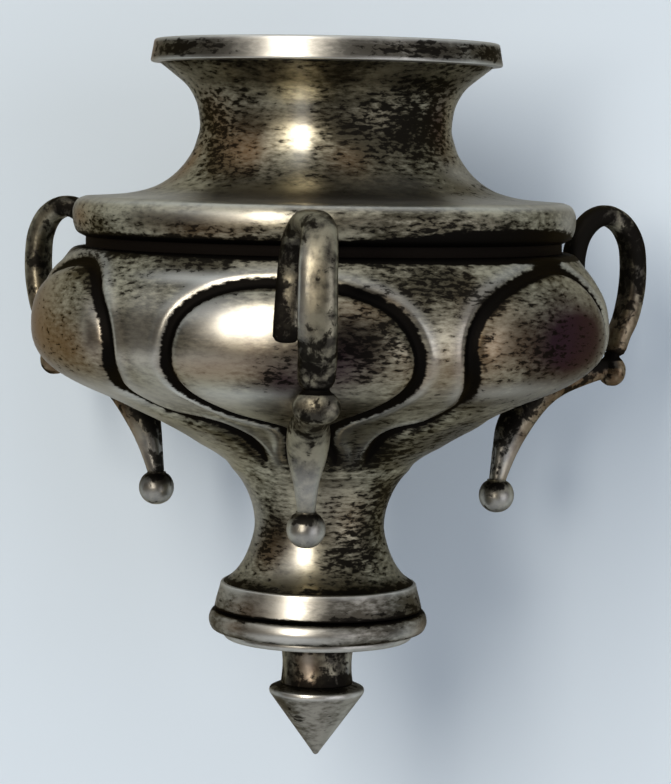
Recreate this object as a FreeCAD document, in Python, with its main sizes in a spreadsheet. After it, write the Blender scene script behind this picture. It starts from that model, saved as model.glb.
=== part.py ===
import FreeCAD, Part
import Sketcher
import os

# Hanging censer bowl of raised and cast silver: a waisted neck with a rim band, a half-round
# shoulder bead, a lobed bowl on a short stem, a moulded foot with a screwed-on cone finial,
# three cast chain handles and a loose fire pan in the neck.
# Levels are counted up from the finial's tip. Each piece is then lowered by the level of the
# three hanging points, so the frame's origin lies midway between them.

V = FreeCAD.Vector
doc = FreeCAD.newDocument("CenserBowl")
sheet = doc.addObject("Spreadsheet::Sheet", "Sizes")

sizes = [
    # finial, from the tip up
    ("tipRadius", 0.6), ("tipHeight", 0.4), ("coneHeight", 11.4),
    ("discRadius", 8.5), ("discHeight", 1.65), ("discEdge", 0.8),
    ("spoolRadius", 6.5), ("spoolBulge", 0.05), ("spoolHeight", 7.45),
    ("washerRadius", 6.0), ("washerThick", 0.6),
    ("studRadius", 2.0), ("studDepth", 6.0), ("studReach", 8.0),
    ("nutRadius", 5.0), ("nutHeight", 7.0), ("threadClear", 0.05), ("holeClear", 0.3),
    # foot
    ("plateRadius", 17.0), ("plateThick", 1.4),
    ("ringEdge", 18.0), ("ringHeight", 4.0), ("ringBulge", 0.35),
    ("bandFoot", 18.5), ("bandTop", 17.4), ("bandHeight", 4.8), ("footBore", 15.9),
    # stem and bowl, from the foot up; a bulge is an arc's rise over its chord
    ("wall", 1.0), ("stemFoot", 17.0), ("stemFlare", 10.4), ("stemWaist", 11.5),
    ("stemRise", 9.8), ("stemTop", 15.6), ("stemBulge", 0.091),
    ("underRise", 8.3), ("underRadius", 28.5), ("underBulge", 0.053),
    ("turnRise", 8.3), ("turnRadius", 45.7),
    ("bellyRise", 8.9), ("bellyRadius", 51.0), ("bellyLowBulge", 0.155),
    ("bowlTopRise", 13.4), ("bowlTopRadius", 43.5), ("bellyHighBulge", 0.134),
    # six raised lobes
    ("lobeCount", 3), ("lobeDepth", 8.5), ("lobeRise", 1.2), ("lobeLift", 1.0),
    ("lobeHalfHeight", 10.0), ("lobeGap", 0.07), ("handleLobeHalfWidth", 24.0), ("gapLobeHalfWidth", 20.0),
    # shoulder and neck
    ("collarRadius", 42.0), ("recessHeight", 1.8), ("beadHeight", 7.1), ("beadBulge", 0.31),
    ("neckFootRise", 1.1), ("neckFootRadius", 31.0), ("neckLowRise", 11.0), ("neckLowBulge", 0.138),
    ("neckRadius", 22.15), ("neckTopRise", 11.2), ("neckTopBulge", 0.144), ("solderGap", 0.05),
    # rim
    ("mouthRadius", 29.3), ("rimWall", 1.65), ("rimTaper", 0.5), ("rimHeight", 4.2),
    ("rimCap", 1.0), ("rimRound", 0.4),
    # handles, outward from the belly and up or down from the bowl's top edge
    ("legOut", -0.4), ("legSink", 11.0), ("loopRise", 5.5), ("loopInner", 7.4), ("loopOuter", 6.4),
    ("strapBend", 36.5), ("strapTurn", 32.0), ("strapRadius", 2.65), ("seatGap", 0.15),
    ("knobOut", 9.4), ("knobDrop", 22.2), ("knobRadius", 2.8), ("knobNeck", 1.9), ("knobGap", 0.5),
    ("runRadius", 2.5), ("hornOut", -12.1), ("hornDrop", 30.0), ("hornRadius", 3.7),
    ("tipOut", -14.8), ("tipDrop", 42.3), ("hornEnd", 1.75), ("ballRadius", 3.25), ("ballSeat", 2.75),
    # fire pan
    ("panWall", 0.8), ("panGap", 0.3), ("panDepth", 26.0), ("panTaper", 1.6),
    ("panFloorDrop", 6.0), ("panFloorRadius", 12.0), ("panBulge", 0.18),
]

for row, (name, number) in enumerate(sizes, start=1):
    sheet.set("A%d" % row, name)
    sheet.set("B%d" % row, str(number))
    sheet.setAlias("B%d" % row, name)
doc.recompute()


def size(name):
    return "Sizes." + name


def add(*terms):
    return "(" + " + ".join(terms) + ")"


def less(first, second):
    return "(%s - %s)" % (first, second)


def value(expression):
    result = sheet.evalExpression(expression)
    return float(getattr(result, "Value", result))


# Levels where the stacked pieces meet, from the finial's tip up
discLevel = size("coneHeight")
spoolLevel = add(discLevel, size("discHeight"))
washerLevel = add(spoolLevel, size("spoolHeight"))
plateLevel = add(washerLevel, size("washerThick"))
ringLevel = add(plateLevel, size("plateThick"))
bandLevel = add(ringLevel, size("ringHeight"))
stemLevel = add(bandLevel, size("bandHeight"))
waistLevel = add(stemLevel, size("stemFlare"))
bowlFootLevel = add(waistLevel, size("stemRise"))
underLevel = add(bowlFootLevel, size("underRise"))
turnLevel = add(underLevel, size("turnRise"))
bellyLevel = add(turnLevel, size("bellyRise"))
bowlTopLevel = add(bellyLevel, size("bowlTopRise"))
beadLevel = add(bowlTopLevel, size("recessHeight"))
shoulderLevel = add(beadLevel, size("beadHeight"))
neckFootLevel = add(shoulderLevel, size("neckFootRise"))
neckLevel = add(neckFootLevel, size("neckLowRise"))
rimLevel = add(neckLevel, size("neckTopRise"))
topLevel = add(rimLevel, size("rimHeight"))
loopTopLevel = add(bowlTopLevel, size("loopRise"))
hangLevel = less(loopTopLevel, size("strapRadius"))


def makeBody(label, turn=0):
    """A body lowered into the frame and turned about the vessel's axis."""
    body = doc.addObject("PartDesign::Body", label)
    body.Label = label
    body.Placement = FreeCAD.Placement(V(0, 0, 0), FreeCAD.Rotation(V(0, 0, 1), turn))
    body.setExpression("Placement.Base.z", "-" + hangLevel)
    return body


def originPart(body, role):
    return [item for item in body.Origin.OriginFeatures if item.Role == role][0]


def makeSketch(body, name, role="XZ_Plane"):
    sketch = body.newObject("Sketcher::SketchObject", name)
    sketch.AttachmentSupport = (originPart(body, role), [""])
    sketch.MapMode = "FlatFace"
    return sketch


def pinPoint(sketch, geometry, corner, place):
    """Ties one point of the sketch to the sheet, by its distance out and its level."""
    for kind, expression in zip(("DistanceX", "DistanceY"), place):
        number = sketch.addConstraint(Sketcher.Constraint(kind, geometry, corner, value(expression)))
        sketch.setExpression("Constraints[%d]" % number, expression)


def bulgePoint(start, end, bulge):
    """The middle of an arc that swells to the left of the way from start to end."""
    out = "((%s + %s) / 2 - %s * (%s - %s))" % (start[0], end[0], bulge, end[1], start[1])
    up = "((%s + %s) / 2 + %s * (%s - %s))" % (start[1], end[1], bulge, end[0], start[0])
    return out, up


def drawChain(sketch, points, bulges):
    """Draws a line, or an arc where there is a bulge, from each point to the next."""
    ends = []
    for start, end, bulge in zip(points, points[1:], bulges):
        first = V(value(start[0]), value(start[1]), 0)
        last = V(value(end[0]), value(end[1]), 0)
        if bulge is None:
            edge = sketch.addGeometry(Part.LineSegment(first, last), False)
        else:
            middle = bulgePoint(start, end, bulge)
            via = V(value(middle[0]), value(middle[1]), 0)
            edge = sketch.addGeometry(Part.Arc(first, via, last), False)
            spot = sketch.addGeometry(Part.Point(via), True)
            sketch.addConstraint(Sketcher.Constraint("PointOnObject", spot, 1, edge))
            pinPoint(sketch, spot, 1, middle)
        near = sketch.getPoint(edge, 1).distanceToPoint(first)
        far = sketch.getPoint(edge, 2).distanceToPoint(first)
        begin, finish = (1, 2) if near < far else (2, 1)
        pinPoint(sketch, edge, begin, start)
        ends.append((edge, begin, finish))
    closed = points[0] == points[-1]
    following = ends[1:] + ends[:1] if closed else ends[1:]
    for before, after in zip(ends, following):
        joint = Sketcher.Constraint("Coincident", before[0], before[2], after[0], after[1])
        sketch.addConstraint(joint)
    if not closed:
        pinPoint(sketch, ends[-1][0], ends[-1][2], points[-1])


def turnedFeature(body, kind, name, points, bulges):
    """A closed outline spun about the vessel's axis: a Revolution adds it, a Groove cuts it."""
    sketch = makeSketch(body, name + "Outline")
    drawChain(sketch, points + points[:1], bulges)
    feature = body.newObject("PartDesign::" + kind, name)
    feature.Profile = sketch
    feature.ReferenceAxis = (sketch, ["V_Axis"])
    feature.Angle = 360
    return feature


def turned(label, points, bulges):
    body = makeBody(label)
    turnedFeature(body, "Revolution", label + "Turned", points, bulges)
    return body


def straight(count):
    return [None] * count


def offset(place, lean, distance):
    """A point moved along its outline's outward normal, which leans up by lean degrees."""
    return ("(%s + %s * cos(%s))" % (place[0], distance, lean),
            "(%s + %s * sin(%s))" % (place[1], distance, lean))


def offsetAll(outline, distance):
    return [offset(place, lean, distance) for place, lean in outline]


def negative(bulges):
    return [None if bulge is None else "-(%s)" % bulge for bulge in bulges]


def shellOutline(outline, bulges, wall, insideStart, insideEnd):
    """Down an outline's outside and back up its inside, whose two end points are given."""
    outside = [place for place, lean in outline]
    inside = offsetAll(outline, "-" + wall)[1:-1]
    points = outside + [insideEnd] + inside[::-1] + [insideStart]
    return points, bulges + [None] + negative(bulges[::-1]) + [None]


# Outlines that neighbouring pieces share: (distance out, level) and the normal's lean
bowlOutline = [
    ((size("bowlTopRadius"), bowlTopLevel), 60),
    ((size("bellyRadius"), bellyLevel), 0),
    ((size("turnRadius"), turnLevel), -65),
    ((size("underRadius"), underLevel), -63),
    ((size("stemTop"), bowlFootLevel), -43),
]
bowlBulges = [size("bellyHighBulge"), size("bellyLowBulge"), None, "-" + size("underBulge")]
stemOutline = [
    ((size("stemTop"), bowlFootLevel), -43),
    ((size("stemWaist"), waistLevel), 0),
    ((size("stemFoot"), stemLevel), 42),
]
neckOutline = [
    ((size("mouthRadius"), rimLevel), -65),
    ((size("neckRadius"), neckLevel), 0),
    ((size("neckFootRadius"), neckFootLevel), 70),
    ((size("collarRadius"), shoulderLevel), 85),
]
neckBulges = ["-" + size("neckTopBulge"), "-" + size("neckLowBulge"), None]


def makeRim():
    """Rim band, an L in section that caps the neck's top edge."""
    seat = add(size("mouthRadius"), size("solderGap"))
    rimFoot = add(seat, size("rimWall"))
    rimTop = less(rimFoot, size("rimTaper"))
    return turned("mouth_rim", [
        (seat, rimLevel),
        (rimFoot, rimLevel),
        (rimTop, less(topLevel, size("rimRound"))),
        (less(rimTop, size("rimRound")), topLevel),
        (mouthInner, topLevel),
        (mouthInner, capLevel),
        (seat, capLevel),
    ], straight(7))


def makeNeck():
    """Neck, a spun shell with a straight collar inside the rim band."""
    flangeEnd = (size("collarRadius"), less(shoulderLevel, size("wall")))
    points, bulges = shellOutline(neckOutline, neckBulges, size("wall"), flareInside, flangeEnd)
    collar = [(mouthInner, capLevel), (size("mouthRadius"), capLevel)]
    return turned("neck_shell", points + collar, bulges[:-1] + straight(3))


def makeShoulder():
    """Half-round bead on a collar, which leaves a recess open below the bead."""
    seat = add(size("collarRadius"), size("solderGap"))
    bead = [(seat, shoulderLevel), (seat, beadLevel)]
    turned("shoulder_bead", bead, [size("beadBulge"), None])
    flangeLevel = less(shoulderLevel, size("wall"))
    turned("shoulder_collar", [
        (collarInner, flangeLevel),
        (size("collarRadius"), flangeLevel),
        (size("collarRadius"), bowlTopLevel),
        (collarInner, bowlTopLevel),
    ], straight(4))


def placeLobe(body, kind, name, halfWidth, turn, grown):
    """One swelling of the wall, grown all round by a gap where a handle is cut to clear it."""
    centre = less(size("bellyRadius"), size("lobeDepth"))
    lobe = body.newObject("PartDesign::" + kind, name)
    lobe.setExpression("Radius1", add(size("lobeHalfHeight"), grown))
    lobe.setExpression("Radius2", add(size("lobeDepth"), size("lobeRise"), grown))
    lobe.setExpression("Radius3", add(halfWidth, grown))
    lobe.Placement = FreeCAD.Placement(V(0, 0, 0), FreeCAD.Rotation(V(0, 0, 1), turn))
    lobe.setExpression("Placement.Base.x", "%s * cos(%s)" % (centre, turn))
    lobe.setExpression("Placement.Base.y", "%s * sin(%s)" % (centre, turn))
    lobe.setExpression("Placement.Base.z", add(bellyLevel, size("lobeLift")))
    doc.recompute()
    return lobe


def addLobes(body, name, halfWidth, turn):
    """Swellings of the wall, spaced evenly about the axis."""
    lobe = placeLobe(body, "AdditiveEllipsoid", name, halfWidth, turn, "0")
    ring = body.newObject("PartDesign::PolarPattern", name + "Ring")
    ring.Originals = [lobe]
    ring.Axis = (originPart(body, "Z_Axis"), [""])
    ring.Angle = 360
    ring.setExpression("Occurrences", size("lobeCount"))
    body.Tip = ring
    doc.recompute()


def makeBowl():
    """Bowl, a raised shell with six lobes and an inner ledge that carries the collar."""
    body = makeBody("bowl_shell")
    outside = [place for place, lean in bowlOutline]
    blank = outside + [("0", bowlFootLevel), ("0", bowlTopLevel)]
    turnedFeature(body, "Revolution", "bowlBlank", blank, bowlBulges + straight(3))
    addLobes(body, "handleLobe", size("handleLobeHalfWidth"), frontTurn)
    addLobes(body, "gapLobe", size("gapLobeHalfWidth"), frontTurn + 60)
    ledgeLevel = less(bowlTopLevel, size("wall"))
    inside = offsetAll(bowlOutline, "-" + size("wall"))
    inside[-1] = (less(size("stemTop"), size("wall")), bowlFootLevel)
    hollow = inside + [("0", bowlFootLevel), ("0", inside[0][1])]
    turnedFeature(body, "Groove", "bowlHollow", hollow, bowlBulges + straight(3))
    hole = [("0", bowlTopLevel), (collarInner, bowlTopLevel), (collarInner, ledgeLevel), ("0", ledgeLevel)]
    turnedFeature(body, "Groove", "collarHole", hole, straight(4))
    return body


def makeStem():
    """Stem, a waisted tube from the bowl to the foot band."""
    points, bulges = shellOutline(stemOutline, negative([size("stemBulge")] * 2), size("wall"),
                                  (less(size("stemTop"), size("wall")), bowlFootLevel),
                                  (less(size("stemFoot"), size("wall")), stemLevel))
    return turned("stem_shell", points, bulges)


def makeFoot():
    """Plain band over a half-round ring, closed by a plate with the finial's nut on it."""
    turned("foot_band", [
        (size("footBore"), stemLevel),
        (size("bandTop"), stemLevel),
        (size("bandFoot"), bandLevel),
        (size("footBore"), bandLevel),
    ], straight(4))
    turned("foot_ring", [
        (size("footBore"), bandLevel),
        (size("ringEdge"), bandLevel),
        (size("ringEdge"), ringLevel),
        (size("footBore"), ringLevel),
    ], [None, size("ringBulge"), None, None])
    turned("base_plate", [
        (plateHole, ringLevel),
        (size("plateRadius"), ringLevel),
        (size("plateRadius"), plateLevel),
        (plateHole, plateLevel),
    ], straight(4))
    nutBore = add(size("studRadius"), size("threadClear"))
    nutTop = add(ringLevel, size("nutHeight"))
    turned("stud_nut", [
        (nutBore, nutTop),
        (size("nutRadius"), nutTop),
        (size("nutRadius"), ringLevel),
        (nutBore, ringLevel),
    ], straight(4))


def makeFinial():
    """Washer, spool and cone, held up by a threaded stud."""
    bore = add(size("studRadius"), size("solderGap"))
    studFoot = less(spoolLevel, size("studDepth"))
    studTop = add(ringLevel, size("studReach"))
    turned("finial_washer", [
        (plateHole, plateLevel),
        (size("washerRadius"), plateLevel),
        (size("washerRadius"), washerLevel),
        (plateHole, washerLevel),
    ], straight(4))
    turned("finial_spool", [
        (bore, washerLevel),
        (size("spoolRadius"), washerLevel),
        (size("spoolRadius"), spoolLevel),
        (bore, spoolLevel),
    ], [None, "-" + size("spoolBulge"), None, None])
    turned("finial_cone", [
        (bore, spoolLevel),
        (size("spoolRadius"), spoolLevel),
        (size("discRadius"), add(discLevel, size("discEdge"))),
        (size("discRadius"), discLevel),
        (size("tipRadius"), size("tipHeight")),
        ("0", "0"),
        ("0", studFoot),
        (bore, studFoot),
    ], straight(8))
    turned("finial_stud", [
        ("0", studTop),
        (size("studRadius"), studTop),
        (size("studRadius"), studFoot),
        ("0", studFoot),
    ], straight(4))


def makePan():
    """Fire pan, a spun cup whose lip lies on the neck's inner flare."""
    neckInside = [(flareInside, -65), ((less(size("neckRadius"), size("wall")), neckLevel), 0)]
    seat = offsetAll(neckInside, "-" + size("panGap"))
    lip = bulgePoint(seat[0], seat[1], "-" + size("neckTopBulge"))
    halfBulge = "(tan(atan(2 * %s) / 2) / 2)" % size("neckTopBulge")
    cupFoot = (less(seat[1][0], size("panTaper")), less(seat[1][1], size("panDepth")))
    floorLevel = less(cupFoot[1], size("panFloorDrop"))
    outline = [
        (lip, -32),
        (seat[1], 0),
        (cupFoot, -4),
        ((size("panFloorRadius"), floorLevel), -75),
        (("0", floorLevel), -90),
    ]
    bulges = ["-" + halfBulge, None, size("panBulge"), None]
    lipInside = offset(lip, -32, "-" + size("panWall"))
    floorInside = ("0", add(floorLevel, size("panWall")))
    points, edges = shellOutline(outline, bulges, size("panWall"), lipInside, floorInside)
    return turned("fire_pan", points, edges)


def seatOnBowl(body, name, rise):
    """Trims a handle piece so that it stands just clear of the bowl's wall."""
    seat = offsetAll(bowlOutline, add(size("seatGap"), rise))
    low = seat[-1][1]
    high = add(seat[0][1], size("wall"))
    cut = seat + [("0", low), ("0", high), (seat[0][0], high)]
    before = body.Shape.Volume
    turnedFeature(body, "Groove", name, cut, bowlBulges + straight(4))
    doc.recompute()
    print(name, "takes off", round(before - body.Shape.Volume, 2), "mm3")


def placeFeature(feature, start, end=None):
    """Puts a primitive at start, with its own Z pointing at end."""
    if end is not None:
        way = V(value(end[0]) - value(start[0]), 0, value(end[1]) - value(start[1]))
        feature.Placement = FreeCAD.Placement(V(0, 0, 0), FreeCAD.Rotation(V(0, 0, 1), way))
    feature.setExpression("Placement.Base.x", start[0])
    feature.setExpression("Placement.Base.z", start[1])


def span(start, end):
    return "sqrt((%s - %s)^2 + (%s - %s)^2)" % (end[0], start[0], end[1], start[1])


def addBall(body, name, place, radius):
    ball = body.newObject("PartDesign::AdditiveSphere", name)
    ball.setExpression("Radius", radius)
    placeFeature(ball, place)


def addRod(body, name, start, end, radius):
    rod = body.newObject("PartDesign::AdditiveCylinder", name)
    rod.setExpression("Radius", radius)
    rod.setExpression("Height", span(start, end))
    placeFeature(rod, start, end)


def cutFlat(body, name, inner, low, high):
    """Cuts away what lies out past inner between two levels."""
    slab = body.newObject("PartDesign::SubtractiveBox", name)
    width = "(4 * %s)" % size("knobRadius")
    slab.setExpression("Length", size("bellyRadius"))
    slab.setExpression("Width", width)
    slab.setExpression("Height", less(high, low))
    slab.setExpression("Placement.Base.x", inner)
    slab.setExpression("Placement.Base.y", "-%s / 2" % width)
    slab.setExpression("Placement.Base.z", low)


def makeLoop(label, turn):
    """Strap of round section bent into a C: up off the bowl, over, and down to the knob."""
    body = makeBody(label, turn)
    path = makeSketch(body, label + "Path")
    bendLevel = less(loopTopLevel, size("loopInner"))
    outLevel = less(loopTopLevel, size("loopOuter"))
    strapFoot = (less(outRadius, "%s * (1 - cos(%s))" % (size("strapBend"), size("strapTurn"))),
                 less(outLevel, "%s * sin(%s)" % (size("strapBend"), size("strapTurn"))))
    quarter = "(tan(22.5) / 2)"
    drawChain(path, [
        (legRadius, legFootLevel),
        (legRadius, bendLevel),
        (topRadius, loopTopLevel),
        (outRadius, outLevel),
        strapFoot,
    ], [None, quarter, quarter, "(tan(%s / 4) / 2)" % size("strapTurn")])
    section = makeSketch(body, label + "Section", "XY_Plane")
    section.setExpression("AttachmentOffset.Base.z", legFootLevel)
    circle = section.addGeometry(Part.Circle(V(value(legRadius), 0, 0), V(0, 0, 1),
                                             value(size("strapRadius"))), False)
    pinPoint(section, circle, 3, (legRadius, "0"))
    radius = section.addConstraint(Sketcher.Constraint("Radius", circle, value(size("strapRadius"))))
    section.setExpression("Constraints[%d]" % radius, size("strapRadius"))
    strap = body.newObject("PartDesign::AdditivePipe", label + "Strap")
    strap.Profile = section
    strap.Spine = path
    cutFlat(body, label + "Foot", legRadius, less(strapFoot[1], size("strapRadius")), strapEndLevel)
    doc.recompute()
    seatOnBowl(body, label + "Seat", size("lobeRise"))
    placeLobe(body, "SubtractiveEllipsoid", label + "Clear", size("handleLobeHalfWidth"), 0,
              size("lobeGap"))
    return body


def makeHorn(label, turn):
    """Knob under the strap's end, a run in under the belly, and a horn tapering down."""
    body = makeBody(label, turn)
    addBall(body, label + "Bulge", hornPlace, size("hornRadius"))
    horn = body.newObject("PartDesign::AdditiveCone", label + "Taper")
    horn.setExpression("Radius1", size("hornRadius"))
    horn.setExpression("Radius2", size("hornEnd"))
    horn.setExpression("Height", add(span(hornPlace, tipPlace), size("knobGap")))
    placeFeature(horn, hornPlace, tipPlace)
    addRod(body, label + "Run", hornPlace, knobPlace, size("runRadius"))
    addBall(body, label + "Knob", knobPlace, size("knobRadius"))
    addRod(body, label + "Neck", knobPlace, (knobPlace[0], strapEndLevel), size("knobNeck"))
    cutFlat(body, label + "Tip", "0", less(tipPlace[1], size("ballRadius")), tipPlace[1])
    doc.recompute()
    seatOnBowl(body, label + "Seat", "0")
    return body


def makeDrop(label, turn):
    """Ball at the horn's tip, with a flat where it is soldered on."""
    body = makeBody(label, turn)
    addBall(body, label + "Round", ballPlace, size("ballRadius"))
    cutFlat(body, label + "Flat", "0", tipPlace[1], add(tipPlace[1], size("ballRadius")))
    return body


# Places used by more than one piece
frontTurn = -90
mouthInner = less(size("mouthRadius"), size("wall"))
flareInside = (mouthInner, add(rimLevel, size("wall")))
capLevel = less(topLevel, size("rimCap"))
collarInner = less(size("collarRadius"), size("wall"))
plateHole = add(size("studRadius"), size("holeClear"))
legRadius = add(size("bellyRadius"), size("legOut"))
legFootLevel = less(bowlTopLevel, size("legSink"))
topRadius = add(legRadius, size("loopInner"))
outRadius = add(topRadius, size("loopOuter"))
knobPlace = (add(size("bellyRadius"), size("knobOut")), less(bowlTopLevel, size("knobDrop")))
strapEndLevel = add(knobPlace[1], size("knobRadius"), size("knobGap"))
hornPlace = (add(size("bellyRadius"), size("hornOut")), less(bowlTopLevel, size("hornDrop")))
tipPlace = (add(size("bellyRadius"), size("tipOut")), less(bowlTopLevel, size("tipDrop")))
ballPlace = (tipPlace[0], less(tipPlace[1], size("ballSeat")))

makeRim()
makeNeck()
makeShoulder()
makeBowl()
makeStem()
makeFoot()
makeFinial()
makePan()
for side, turn in (("front", frontTurn), ("right", frontTurn + 120), ("left", frontTurn + 240)):
    makeLoop("handle_loop_" + side, turn)
    makeHorn("handle_horn_" + side, turn)
    makeDrop("handle_ball_" + side, turn)
doc.recompute()

# Nothing is written unless every object and every piece is sound
failed = [item.Name for item in doc.Objects if {"Invalid", "Error"} & set(item.State)]
pieces = [item for item in doc.Objects if item.TypeId == "PartDesign::Body"]
failed += [piece.Label for piece in pieces if piece.Shape.isNull() or not piece.Shape.isValid()]
failed += [piece.Label for piece in pieces if len(piece.Shape.Solids) != 1]
if failed:
    raise SystemExit("not sound: " + ", ".join(failed))

os.makedirs("parts", exist_ok=True)
for piece in pieces:
    piece.Shape.exportStep("parts/%s.step" % piece.Label)
    print("%-20s %9.1f mm3" % (piece.Label, piece.Shape.Volume))
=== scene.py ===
import math

import bmesh
import bpy
import numpy as np
from mathutils import Matrix, Vector


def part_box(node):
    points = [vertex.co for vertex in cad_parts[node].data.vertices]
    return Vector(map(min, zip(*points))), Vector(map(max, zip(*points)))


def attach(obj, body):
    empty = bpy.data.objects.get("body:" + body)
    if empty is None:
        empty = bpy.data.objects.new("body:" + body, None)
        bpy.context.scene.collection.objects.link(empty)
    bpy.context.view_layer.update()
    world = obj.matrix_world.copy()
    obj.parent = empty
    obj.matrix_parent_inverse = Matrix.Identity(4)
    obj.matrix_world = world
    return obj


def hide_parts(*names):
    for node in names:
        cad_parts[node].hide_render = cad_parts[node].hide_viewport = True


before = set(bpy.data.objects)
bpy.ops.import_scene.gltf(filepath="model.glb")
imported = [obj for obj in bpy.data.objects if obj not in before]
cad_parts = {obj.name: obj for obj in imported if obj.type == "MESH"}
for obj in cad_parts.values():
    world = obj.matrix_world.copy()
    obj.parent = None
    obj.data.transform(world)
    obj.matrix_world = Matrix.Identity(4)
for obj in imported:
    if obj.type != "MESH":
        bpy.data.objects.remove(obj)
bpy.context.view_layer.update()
print("frame loaded with", len(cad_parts), "nodes")

mm = 0.001
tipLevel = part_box("finial_cone")[0].z  # levels below are in mm above the finial's tip
creaseAngle = 50  # degrees, edges sharper than this stay sharp in the shading


def levelOf(node, end):
    return (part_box(node)[end].z - tipLevel) / mm


def outRadius(node):
    low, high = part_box(node)
    return max(-low.y, high.x, high.y) / mm


# shaping: smooth lines, spun pieces, swept pieces

def smoothRun(points, step):
    # a smooth line through the points, with a point about every step
    points = np.array(points, float)
    if len(points) == 2:
        count = max(1, int(round(np.linalg.norm(points[1] - points[0]) / step)))
        return [points[0] + (points[1] - points[0]) * i / count for i in range(count + 1)]
    ends = np.vstack([2 * points[0] - points[1], points, 2 * points[-1] - points[-2]])
    line = [points[0]]
    for i in range(1, len(ends) - 2):
        p0, p1, p2, p3 = ends[i - 1:i + 3]
        t1 = max(np.linalg.norm(p1 - p0), 1e-6) ** 0.5
        t2 = t1 + max(np.linalg.norm(p2 - p1), 1e-6) ** 0.5
        t3 = t2 + max(np.linalg.norm(p3 - p2), 1e-6) ** 0.5
        count = max(1, int(math.ceil(np.linalg.norm(p2 - p1) / step)))
        for k in range(1, count + 1):
            t = t1 + (t2 - t1) * k / count
            a1 = p0 * (t1 - t) / t1 + p1 * t / t1
            a2 = p1 * (t2 - t) / (t2 - t1) + p2 * (t - t1) / (t2 - t1)
            a3 = p2 * (t3 - t) / (t3 - t2) + p3 * (t - t2) / (t3 - t2)
            b1 = a1 * (t2 - t) / t2 + a2 * t / t2
            b2 = a2 * (t3 - t) / (t3 - t1) + a3 * (t - t1) / (t3 - t1)
            line.append(b1 * (t2 - t) / (t2 - t1) + b2 * (t - t1) / (t2 - t1))
    return line


def profileLine(runs, step):
    # runs of (radius, level) joined at their shared ends, which stay as corners
    line = []
    for run in runs:
        part = smoothRun(run, step)
        line += part if not line else part[1:]
    return line


def toMesh(bm, name, body, nodes, material):
    for face in bm.faces:
        face.smooth = True
    for edge in bm.edges:
        shared = len(edge.link_faces) == 2
        edge.smooth = shared and edge.calc_face_angle(0) < math.radians(creaseAngle)
    mesh = bpy.data.meshes.new(name)
    bm.to_mesh(mesh)
    bm.free()
    piece = bpy.data.objects.new(name, mesh)
    bpy.context.scene.collection.objects.link(piece)
    mesh.materials.append(material)
    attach(piece, body)
    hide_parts(*nodes)
    return piece


def spinProfile(bm, line, segments, closed):
    # the outline in the XZ plane, spun once about the vessel's axis
    spots = [bm.verts.new((r * mm, 0, z * mm + tipLevel)) for r, z in line]
    if closed:
        bm.verts.remove(spots.pop())
    pairs = list(zip(spots, spots[1:])) + ([(spots[-1], spots[0])] if closed else [])
    edges = [bm.edges.new(pair) for pair in pairs]
    bmesh.ops.spin(bm, geom=spots + edges, cent=(0, 0, 0), axis=(0, 0, 1), angle=2 * math.pi,
                   steps=segments, use_merge=True)
    bmesh.ops.remove_doubles(bm, verts=bm.verts, dist=2e-6)
    bmesh.ops.recalc_face_normals(bm, faces=bm.faces)


def softenRings(bm, edgeRound, angle=28):
    sharp = [e for e in bm.edges if len(e.link_faces) == 2
             and e.calc_face_angle(0) > math.radians(angle)]
    if sharp and edgeRound:
        bmesh.ops.bevel(bm, geom=sharp, offset=edgeRound * mm, offset_type="OFFSET", segments=3,
                        profile=0.5, affect="EDGES", material=-1, clamp_overlap=True)


def spunPiece(spec, name, body, nodes, material):
    bm = bmesh.new()
    line = profileLine(spec["runs"], spec.get("step", 0.8))
    closed = np.allclose(line[0], line[-1])
    spinProfile(bm, line, spec.get("segments", 192), closed)
    softenRings(bm, spec.get("edgeRound", 0.25))
    piece = toMesh(bm, name, body, nodes, material)
    stain(piece, spec.get("stains", {}))
    return piece


def places(piece):
    # azimuth from the front handle in degrees, level in mm above the tip, radius in mm
    co = np.empty(len(piece.data.vertices) * 3, np.float32)
    piece.data.vertices.foreach_get("co", co)
    co = co.reshape(-1, 3).astype(float)
    azimuth = np.degrees(np.arctan2(co[:, 0], -co[:, 1]))
    return azimuth, (co[:, 2] - tipLevel) / mm, np.hypot(co[:, 0], co[:, 1]) / mm


def setLayer(piece, name, values):
    layer = piece.data.attributes.get(name) or piece.data.attributes.new(name, "FLOAT", "POINT")
    layer.data.foreach_set("value", np.asarray(values, np.float32))


def softPatch(where, patch):
    # (middle, half width, strength) of a patch that fades to both sides of its middle
    middle, half, strength = patch
    return strength * np.exp(-((where - middle) / half) ** 2)


# layers: tarnish, which also carries painted shade and painted dark reflections; worn, which also
# carries painted highlights and pale reflections; warm and plum toning, which also carry painted brown
# and dark reflections; groove, black in grooves and joints and painted shade under the shoulder
layerNames = ("tarnishAndShade", "warmToneAndReflection", "plumToneAndDarkReflection", "wornAndHighlight", "groove")


def stain(piece, stains, extra=None):
    # soft patches of (azimuth, level, half width, half height, strength) on named layers;
    # 400 degrees wide is a ring all the way round
    azimuth, level, radius = places(piece)
    for name in layerNames:
        total = np.zeros(len(azimuth))
        for az, lev, wide, high, strength in stains.get(name, []):
            turn = (azimuth - az + 180) % 360 - 180
            total += strength * np.exp(-(turn / wide) ** 2 - ((level - lev) / high) ** 2)
        if extra is not None and name in extra:
            total += extra[name]
        setLayer(piece, name, np.clip(total, 0, 1))


# finishes

def linear(code):
    # sRGB hex to a linear colour
    channels = [int(code[i:i + 2], 16) / 255 for i in (1, 3, 5)]
    return [c / 12.92 if c <= 0.04045 else ((c + 0.055) / 1.055) ** 2.4 for c in channels] + [1]


def addNode(tree, kind, settings=None, inputs=None, links=None):
    # one node, its properties, its plain socket values and what is linked into it
    node = tree.nodes.new(kind)
    for key, setting in (settings or {}).items():
        setattr(node, key, setting)
    for key, number in (inputs or {}).items():
        node.inputs[key].default_value = number
    for key, source in (links or {}).items():
        tree.links.new(source, node.inputs[key])
    return node


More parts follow.
